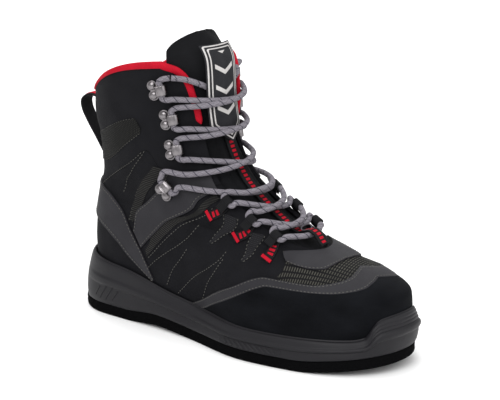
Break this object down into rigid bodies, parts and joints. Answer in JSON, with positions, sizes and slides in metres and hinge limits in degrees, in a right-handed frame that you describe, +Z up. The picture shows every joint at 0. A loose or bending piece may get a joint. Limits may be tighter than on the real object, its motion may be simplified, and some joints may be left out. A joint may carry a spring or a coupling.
{
  "type": "wading boot",
  "caption": "Ankle-high laced wading boot with a felt sole, rubber cup midsole, rubberised toe cap, hooks and webbing loops for the lace, and a padded tongue.",
  "frame": {"origin": "on the floor, under the middle of the heel seat", "axes": "+X from heel to toe, +Z up, +Y to the inner (medial) side of this right boot"},
  "size_m": [0.325, 0.1229, 0.2412],
  "materials": {
    "felt": "dense black felt",
    "grey_rubber": "moulded matt rubber",
    "black_fabric": "woven fabric on foam",
    "black_rand": "matt napped synthetic",
    "grey_synthetic": "smooth matt synthetic",
    "footbed": "fabric-covered foam",
    "red_binding": "rolled fabric edge",
    "label": "woven label",
    "black_webbing": "woven webbing",
    "pewter": "smooth pewter-coloured metal",
    "lace": "braided cord"
  },
  "bodies": {
    "root": {"ankle_strap_lateral": "grey_synthetic", "ankle_strap_medial": "grey_synthetic", "collar_binding": "red_binding", "heel_strap": "grey_synthetic", "hook_lateral_1": "pewter", "hook_lateral_2": "pewter", "hook_lateral_3": "pewter", "hook_lateral_4": "pewter", "hook_medial_1": "pewter", "hook_medial_2": "pewter", "hook_medial_3": "pewter", "hook_medial_4": "pewter", "insole": "footbed", "lace_end_lateral": "lace", "lace_end_medial": "lace", "lace_loop_lateral_1": "black_webbing", "lace_loop_lateral_2": "black_webbing", "lace_loop_lateral_3": "black_webbing", "lace_loop_medial_1": "black_webbing", "lace_loop_medial_2": "black_webbing", "lace_loop_medial_3": "black_webbing", "laces": "lace", "midsole": "grey_rubber", "outsole_felt": "felt", "pull_loop": "black_webbing", "toe_cap": "black_rand", "toe_trim": "grey_synthetic", "tongue": "black_fabric", "tongue_label": "label", "tongue_strip": "black_webbing", "upper": "black_fabric", "vamp_patch": "grey_synthetic"}
  },
  "joints": []
}
